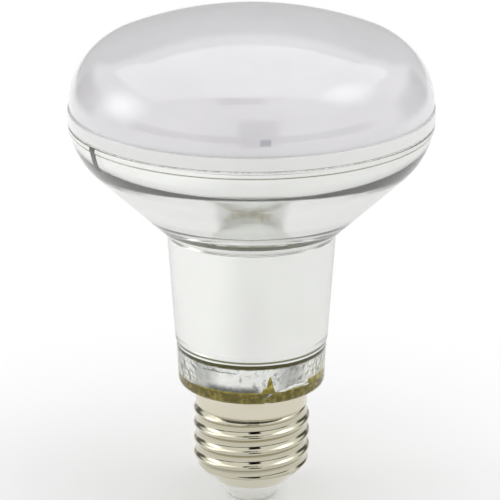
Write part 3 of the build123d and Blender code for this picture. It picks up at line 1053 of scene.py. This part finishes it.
@dataclass
class FrontLens:
    """Domed satin lens with a moulded flange and a locating spigot."""

    wall: float = 2.0
    flange_step: float = 0.3
    flange_height: float = 2.9
    flange_web: float = 1.6
    skirt: float = 0.75
    edge_round: float = 15.1
    face_round: float = 82.2
    spigot_depth: float = 1.45
    spigot_radius: float = 37.4
    spigot_wall: float = 1.5
    lip_round: float = 0.25
    step_round: float = 0.12
    step_notch: float = 0.25
    web_round: float = 0.4
    curve_steps: int = 30

    def __post_init__(self) -> None:
        """Take the spigot's foot, the apex and the flange's radius from the CAD node."""
        self.spigot_z, self.apex_z, self.flange_radius = span("front_lens")

    def outline(self) -> Outline:
        """Draw the lens from its spigot out, over the dome and back along the inside.

        Returns:
            The closed half section.
        """
        flange_z = self.spigot_z + self.spigot_depth
        flange_top, web_z = flange_z + self.flange_height, flange_z + self.flange_web
        radius = self.flange_radius - self.flange_step
        edge = (radius - self.edge_round, flange_top + self.skirt)
        face = (0.0, self.apex_z - self.face_round)
        turn = math.degrees(math.atan2(edge[1] - face[1], edge[0]))
        bore = radius - self.wall
        spigot_bore = self.spigot_radius - self.spigot_wall
        lip = self.lip_round
        lens = Outline()
        lens.to(spigot_bore, self.spigot_z, lip).to(self.spigot_radius, self.spigot_z, lip)
        lens.to(self.spigot_radius, flange_z)
        lens.to(self.flange_radius, flange_z, lip).to(self.flange_radius, flange_top, lip)
        lens.to(radius - self.step_notch, flange_top, self.step_round)
        lens.arc(edge, self.edge_round, 0, turn, self.curve_steps)
        lens.arc(face, self.face_round, turn, 90, self.curve_steps)
        lens.arc(face, self.face_round - self.wall, 90, turn, self.curve_steps)
        lens.arc(edge, self.edge_round - self.wall, turn, 0, self.curve_steps)
        lens.to(bore, web_z, self.web_round).to(spigot_bore, web_z)
        return lens.rounded()

    def build(self) -> None:
        """Make the lens and dress it."""
        piece = Skin("lens_dome").turned(self.outline())
        fit(piece, "front_lens", "lens_satin", SatinLens().material())


@dataclass
class LensSeal:
    """Squeezed-out bead of clear adhesive between the reflector's rim and the lens flange."""

    reach: float = 0.17
    width: float = 1.0
    bead_round: float = 0.12
    finish: Moulding = Moulding(
        "seal_bead", (0.84, 0.845, 0.82), 0.3, cloud_size=1.0, grain_depth=0.06, spread=0.4
    )

    def build(self) -> None:
        """Make the bead and dress it."""
        low_z, high_z, radius = span("lens_seal")
        inner, outer = radius - self.width, radius + self.reach
        bead = Outline()
        bead.to(inner, low_z + TOUCH).to(outer, low_z + TOUCH, self.bead_round)
        bead.to(outer, high_z - TOUCH, self.bead_round).to(inner, high_z - TOUCH)
        piece = Skin("seal_bead").turned(bead.rounded())
        fit(piece, "lens_seal", "clear_seal", self.finish.material())


@dataclass
class ScrewShell:
    """Thin rolled screw shell: lower cone, knuckle thread and collar."""

    wall: float = 0.3
    root_radius: float = 12.2
    pitch: float = 3.629
    crest_round: float = 0.6
    thread_length: float = 14.35
    end_bearing: float = 309.0
    run_out: float = 0.1
    run_out_round: float = 0.45
    cone_angle: float = 43.0
    edge_radius: float = 9.3
    collar_swell: float = 0.4
    rim_round: float = 0.1
    rows: int = 130
    segments: int = 320
    easing_steps: int = 10

    def __post_init__(self) -> None:
        """Take the shell's ends and crest from the CAD node and work out its heights."""
        self.edge_z, self.top_z, self.crest_radius = span("cap_shell")
        self.slope = math.tan(math.radians(self.cone_angle))
        self.cone_top_z = self.edge_z + (self.root_radius - self.edge_radius) / self.slope
        self.thread_top_z = self.cone_top_z + self.thread_length
        self.collar_radius = self.root_radius + self.collar_swell

    def thread(self, bearing: np.ndarray, height: float) -> np.ndarray:
        """Height of the rolled thread over its root around one ring.

        Args:
            bearing: directions around the axis in degrees.
            height: the ring's height.

        Returns:
            How far the wall stands out at each bearing.
        """
        depth = self.crest_radius - self.root_radius
        crest_z = self.thread_top_z + self.pitch * (bearing - self.end_bearing) / 360
        away = np.abs((height - crest_z + self.pitch / 2) % self.pitch - self.pitch / 2)
        reach = self.pitch / 2
        flank = 2 * math.atan2(depth, reach)
        root_round = reach / math.sin(flank) - self.crest_round
        crest = depth - self.crest_round + np.sqrt(np.maximum(self.crest_round**2 - away**2, 0))
        root = root_round - np.sqrt(np.maximum(root_round**2 - (reach - away) ** 2, 0))
        stand = np.where(away < self.crest_round * math.sin(flank), crest, root)
        below = height - self.cone_top_z - self.run_out
        above = self.thread_top_z - self.run_out - height
        room = min(below, above)
        share = np.clip(0.5 + (room - stand) / (2 * self.run_out_round), 0, 1)
        eased = share * stand + (1 - share) * room - self.run_out_round * share * (1 - share)
        return np.clip(eased, 0, None)

    def build(self) -> None:
        """Make the shell, outside up and inside down, and dress it."""
        skin = Skin("rolled_shell", self.segments)
        bearings = np.degrees(skin.bearings())
        cone_z = np.linspace(self.edge_z, self.cone_top_z, self.easing_steps + 1)[:-1]
        thread_z = np.linspace(self.cone_top_z, self.thread_top_z, self.rows + 1)
        collar_z = self.thread_top_z + self.collar_swell
        collar, rim, wall = self.collar_radius, self.rim_round, self.wall
        root, inner = self.root_radius, self.root_radius - wall

        places = [(self.edge_radius + self.slope * (z - self.edge_z), z) for z in cone_z]
        places += [(root + self.thread(bearings, z), z) for z in thread_z]
        for share in np.linspace(0, 1, self.easing_steps + 1)[1:]:
            eased = share * share * (3 - 2 * share)
            places.append((root + self.collar_swell * eased, self.thread_top_z + self.collar_swell * share))
        places += [(collar, self.top_z - rim), (collar - rim, self.top_z)]
        places += [(collar - wall, self.top_z), (collar - wall, collar_z)]
        places += [(inner + self.thread(bearings, z), z) for z in thread_z[::-2]]
        places.append((self.edge_radius - wall, self.edge_z))
        fit(skin.wrapped(skin.rings(*places)), "cap_shell", "nickel", Nickel().material())


@dataclass
class CementCollar:
    """Olive cement in the foot, darkened as painted shade: bead on the cap's rim, fill round the plug and
    skirt round the dam.
    """

    glass: GlassReflector
    shell: ScrewShell
    film_backing: float = 0.6
    spigot_radius: float = 11.75
    plug_radius: float = 13.2
    plug_lift: float = 0.3
    dam_thickness: float = 1.2
    window_gap: float = 0.05
    # Painted shade: the olive is darkened to stand for the shaded gap it sits in behind the glass.
    finish: Moulding = Moulding(
        "olive_cement", (0.10, 0.085, 0.004), 0.5, gloss=0.0, spread=0.35, cloud_size=1.4
    )

    def build(self) -> None:
        """Make the cement and dress it."""
        low_z, high_z, _ = span("neck_cement")
        _, _, dam_radius = span("driver_housing")
        glass, skin = self.glass, Skin("foot_cement")
        dam_z = high_z - self.dam_thickness
        foot_z, lip_z = glass.foot_z - TOUCH, glass.lip_z + TOUCH
        plug_z, back_z = glass.lip_z + self.plug_lift, glass.film_z - self.film_backing
        spigot, plug, dam = self.spigot_radius + TOUCH, self.plug_radius + TOUCH, dam_radius + TOUCH
        bead = np.array([glass.smear(bearing) for bearing in skin.bearings()])
        places = [(spigot, low_z), (self.shell.collar_radius, low_z), (bead, foot_z)]
        places += [(glass.mouth - TOUCH, foot_z), (glass.mouth - TOUCH, lip_z)]
        places += [(glass.bore(z) - self.film_backing, z) for z in (plug_z, back_z)]
        places += [(glass.bore(z) - self.window_gap, z) for z in (glass.film_z, high_z)]
        places += [(dam, high_z), (dam, dam_z), (plug, dam_z), (plug, plug_z), (spigot, plug_z)]
        piece = skin.wrapped(skin.rings(*places))
        fit(piece, "neck_cement", "olive_cement", self.finish.material())


@dataclass
class Insulator:
    """Milky two-slope insulator under the shell."""

    lip_radius: float = 5.1
    waist_radius: float = 7.1
    brow_radius: float = 9.28
    waist_rise: float = 2.7
    brow_rise: float = 4.8
    waist_round: float = 2.0
    seat_radius: float = 4.67
    seat_depth: float = 0.5
    stem_bore: float = 1.22
    edge_round: float = 0.15
    shell_wall: float = 0.43
    finish: Moulding = Moulding(
        "opal_insulator", (0.75, 0.75, 0.70), 0.22, spread=0.04, cloud_size=3.0
    )

    def build(self) -> None:
        """Make the insulator and dress it."""
        foot_z, top_z, top_radius = span("cap_insulator")
        seat_z, brow_z = foot_z + self.seat_depth, foot_z + self.brow_rise
        body = Outline()
        body.to(self.stem_bore, seat_z).to(self.seat_radius, seat_z)
        body.to(self.seat_radius, foot_z, self.edge_round)
        body.to(self.lip_radius, foot_z, self.edge_round)
        body.to(self.waist_radius, foot_z + self.waist_rise, self.waist_round)
        body.to(self.brow_radius, brow_z, self.edge_round)
        body.to(self.brow_radius - self.shell_wall, brow_z + TOUCH)
        body.to(top_radius - TOUCH, top_z).to(self.stem_bore, top_z)
        piece = Skin("opal_base").turned(body.rounded())
        fit(piece, "cap_insulator", "white_insulator", self.finish.material())


CARRIED: dict[str, Moulding] = {
    "centre_contact": Moulding("contact_metal", (0.78, 0.74, 0.64), 0.22, 1.0),
    "driver_housing": Moulding("housing_white", (0.80, 0.80, 0.78), 0.4),
    "heat_sink_cup": Moulding("drawn_aluminium", (0.82, 0.83, 0.84), 0.28, 1.0),
    "led_board": Moulding("white_board", (0.84, 0.84, 0.83), 0.35),
    "led_emitters": Moulding("emitter_yellow", (0.85, 0.72, 0.18), 0.3),
    "board_screws": Moulding("screw_steel", (0.66, 0.67, 0.68), 0.25, 1.0),
    "driver_board": Moulding("board_green", (0.05, 0.19, 0.08), 0.4),
    "smoothing_capacitor": Moulding("can_sleeve", (0.03, 0.035, 0.07), 0.35),
    "film_capacitor": Moulding("film_yellow", (0.78, 0.56, 0.10), 0.35),
    "filter_choke": Moulding("ferrite", (0.08, 0.08, 0.085), 0.55),
    "power_inductor": Moulding("ferrite_core", (0.10, 0.10, 0.105), 0.55),
    "bridge_rectifier": Moulding("chip_black", (0.035, 0.035, 0.038), 0.45),
    "driver_chip": Moulding("chip_body", (0.035, 0.035, 0.038), 0.45),
    "fuse_resistor": Moulding("fuse_grey", (0.42, 0.45, 0.44), 0.5),
    "led_lead_positive": Moulding("lead_red", (0.55, 0.04, 0.03), 0.4),
    "led_lead_negative": Moulding("lead_black", (0.03, 0.03, 0.03), 0.4),
    "shell_lead": Moulding("lead_white", (0.80, 0.80, 0.78), 0.4),
    "contact_lead": Moulding("lead_pale", (0.78, 0.78, 0.76), 0.4),
}


def dress_carried() -> None:
    """Give each CAD node that stays its own finish."""
    for node, finish in CARRIED.items():
        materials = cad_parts[node].data.materials
        materials.clear()
        materials.append(finish.material())
        log.info("%s: carried over with %s", node, finish.name)


def sheet(name: str, size: Point, material: bpy.types.Material) -> bpy.types.Object:
    """Flat rectangle of the stage, centred on its own origin and facing its own z axis.

    Args:
        name: the object's name.
        size: width and depth in metres.
        material: its finish.

    Returns:
        The new object.
    """
    x, y = size[0] / 2, size[1] / 2
    mesh = bpy.data.meshes.new(name)
    mesh.from_pydata([(-x, -y, 0), (x, -y, 0), (x, y, 0), (-x, y, 0)], [], [(0, 1, 2, 3)])
    mesh.materials.append(material)
    made = placed(name, mesh)
    log.info("%s: stage sheet", name)
    return made


class CardKind(Enum):
    """What a studio card does."""

    SOFTBOX = "softbox"
    FLAG = "flag"


BOX, FLAG = CardKind.SOFTBOX, CardKind.FLAG


@dataclass(frozen=True)
class Card:
    """A flat card of the studio, in metres, seen in reflections and never by the camera."""

    name: str
    kind: CardKind
    centre: Triple
    size: Point
    aim: Triple = (0.0, 0.0, 0.07)
    gloss: float = 1.0
    light: float = 0.0
    fade: float = 0.15
    through_glass: bool = True

    def material(self) -> bpy.types.Material:
        """Light the card for reflections and for plain surfaces, and fade it out towards its edges.

        Returns:
            The finished material.
        """
        shader = Shader.named(self.name)
        x, y, _ = shader.axes()
        across, along = abs(x) / (self.size[0] / 2 / MM), abs(y) / (self.size[1] / 2 / MM)
        inside = across.rise(1, 1 - self.fade) * along.rise(1, 1 - self.fade)
        light = shader.mix(shader.ray("Diffuse"), shader.glow(self.gloss), shader.glow(self.light))
        clear = shader.add("ShaderNodeBsdfTransparent").outputs[0]
        return shader.done(shader.mix(inside, clear, light))

    def build(self) -> None:
        """Put the card up, facing its aim."""
        card = sheet(self.name, self.size, self.material())
        card.location = self.centre
        facing = (Vector(self.aim) - Vector(self.centre)).normalized()
        upright = Vector((0, 1, 0) if abs(facing.z) > STEEP else (0, 0, 1))
        across = facing.cross(upright).normalized()
        turned = Matrix((across, facing.cross(across), facing)).transposed()
        card.rotation_euler = turned.to_euler()
        card.visible_camera = False
        card.visible_shadow = False
        card.visible_transmission = self.through_glass
        card.visible_diffuse = self.kind is CardKind.SOFTBOX


@dataclass(frozen=True)
class Floor:
    """Pale floor that keeps the lamp's shadow, and in reflections shows painted shade: a painted shadow
    round the cap, a dark strip in front and a darker right side.
    """

    size: float = 4.0
    drop: float = 0.02
    pale: Colour = (0.95, 0.95, 0.95)
    paler: Colour = (0.965, 0.965, 0.965)
    cloud_size: float = 120.0
    roughness: float = 0.9
    shadow_reach: Point = (35.0, 120.0)
    # Painted shadow round the cap, seen only in reflections: its inner and outer radii and its darkness.
    contact_shadow_inner: Point = (10.5, 13.0)
    contact_shadow_radius: Point = (22.0, 16.0)
    contact_shadow_dark: float = 0.28
    strip_lean: float = 0.094
    strip_half: Point = (62.0, 0.0)
    strip_start: Point = (-50.0, -75.0)
    strip_end: Point = (-135.0, -95.0)
    strip_dark: float = 0.06
    right_dark: float = 0.115
    right_start: Point = (-110.0, -20.0)

    def shade(self, x: Signal, y: Signal, radius: Signal) -> Signal:
        """Darken the floor in reflections: round the cap, on a strip in front of it and to the right.

        Args:
            x: place across, in millimetres.
            y: place along, in millimetres.
            radius: distance from the lamp's axis.

        Returns:
            How dark the floor is, from 0 to 1.
        """
        # Painted shadow round the cap.
        contact_shadow = self.contact_shadow_dark * radius.rise(*self.contact_shadow_inner) * radius.rise(*self.contact_shadow_radius)
        strip = self.strip_dark * abs(x + self.strip_lean * y).rise(*self.strip_half)
        strip = strip * y.rise(*self.strip_start) * y.rise(*self.strip_end)
        right = self.right_dark * x.rise(*self.right_start)
        return 1 - (1 - contact_shadow) * (1 - strip) * (1 - right)

    def build(self) -> None:
        """Lay the floor."""
        shader = Shader.named("pale_floor")
        x, y, _ = shader.axes()
        radius = (x * x + y * y) ** 0.5
        clouds = shader.noise(self.cloud_size, Detail.PLAIN)
        paint = shader.surface(
            Base_Color=shader.blend(clouds, self.pale, self.paler),
            Roughness=self.roughness,
            Specular_IOR_Level=0.0,
        )
        plain = shader.mix(radius.rise(*self.shadow_reach), paint, shader.glow(1.0))
        mirrored = shader.mix(self.shade(x, y, radius), shader.glow(1.0), shader.glow(0.0))
        closure = shader.mix(shader.ray("Glossy", "Transmission"), plain, mirrored)
        sheet("floor", (self.size, self.size), shader.done(closure)).location.z = -self.drop * MM


@dataclass
class Studio:
    """Pale floor, white surroundings, soft boxes, dark flags and the camera."""

    target: Triple = (0.0, 0.0, 0.0585)
    distance: float = 0.6
    elevation: float = 19.22
    lens: float = 195.05
    sensor: float = 36.0
    sight: float = 20.0
    shift: float = -0.003
    plain_light: float = 0.95
    horizon_span: Point = (0.02, 0.17)
    horizon_edge: float = 0.03
    horizon_dark: float = 0.85
    horizon_front: Point = (0.05, 0.35)
    cards: tuple[Card, ...] = (
        Card(
            "overhead_box", BOX, (0, 0.2, 0.62), (1.3, 0.75), (0, 0.2, 0), gloss=1.75, light=0.4, fade=0.08
        ),
        Card("left_box", BOX, (-0.56, 0.0, 0.30), (0.5, 0.5), gloss=3.6, light=1.0, fade=1.0),
        Card("right_box", BOX, (0.40, -0.01, 0.55), (0.5, 0.5), gloss=3.2, light=1.0, fade=1.0),
        Card(
            "front_gap", FLAG, (0.05, -0.64, 0.25), (0.34, 0.62), gloss=0.0, fade=0.4, through_glass=False
        ),
        Card("back_left_flag", FLAG, (-0.45, 0.35, 0.14), (0.5, 0.32), gloss=0.15, fade=0.6),
        Card("back_right_flag", FLAG, (0.47, 0.30, 0.14), (0.6, 0.34), gloss=0.1, fade=0.6),
        Card("front_boom", FLAG, (-0.045, -0.22, 0.58), (0.26, 0.13), gloss=0.0, fade=0.4),
        Card("back_wall", FLAG, (0, 1.0, 0.36), (1.6, 0.9), gloss=0.4, fade=0.3),
    )

    def build(self) -> None:
        """Set up floor, world, cards and camera."""
        Floor().build()
        self.world()
        for card in self.cards:
            card.build()
        self.camera()
        bpy.context.scene.view_settings.view_transform = "Standard"

    def world(self) -> None:
        """White surroundings, dimmer for plain surfaces and with a dark front horizon in mirrors."""
        shader = Shader(bpy.data.worlds.new("surroundings"))
        _, away, up = shader.axes(shader.add("ShaderNodeTexCoord").outputs["Generated"])
        horizon = up.band(*self.horizon_span, self.horizon_edge)
        horizon = horizon * (0 - away).rise(*self.horizon_front) * shader.ray("Glossy")
        plain = (1 - self.plain_light) * shader.ray("Diffuse")
        strength = 1 - plain - self.horizon_dark * horizon
        sky = shader.add("ShaderNodeBackground", None, {"Color": (1, 1, 1), "Strength": strength})
        bpy.context.scene.world = shader.done(sky.outputs[0])

    def camera(self) -> None:
        """Camera at the photograph's angle."""
        rise = math.radians(self.elevation)
        data = bpy.data.cameras.new("camera")
        data.lens = self.lens
        data.sensor_width = self.sensor
        data.shift_x = self.shift
        data.clip_end = self.sight
        camera = placed("camera", data)
        target = Vector(self.target)
        camera.location = target + self.distance * Vector((0, -math.cos(rise), math.sin(rise)))
        camera.rotation_euler = (target - camera.location).to_track_quat("-Z", "Y").to_euler()
        bpy.context.scene.camera = camera


def main() -> None:
    """Build the lamp's pieces and its studio."""
    logging.basicConfig(level=logging.INFO, format="%(message)s")
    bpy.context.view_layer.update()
    glass, shell = GlassReflector(), ScrewShell()
    for part in (glass, FrontLens(), LensSeal(), shell, CementCollar(glass, shell), Insulator()):
        part.build()
    dress_carried()
    Studio().build()


if __name__ == "__main__":
    main()
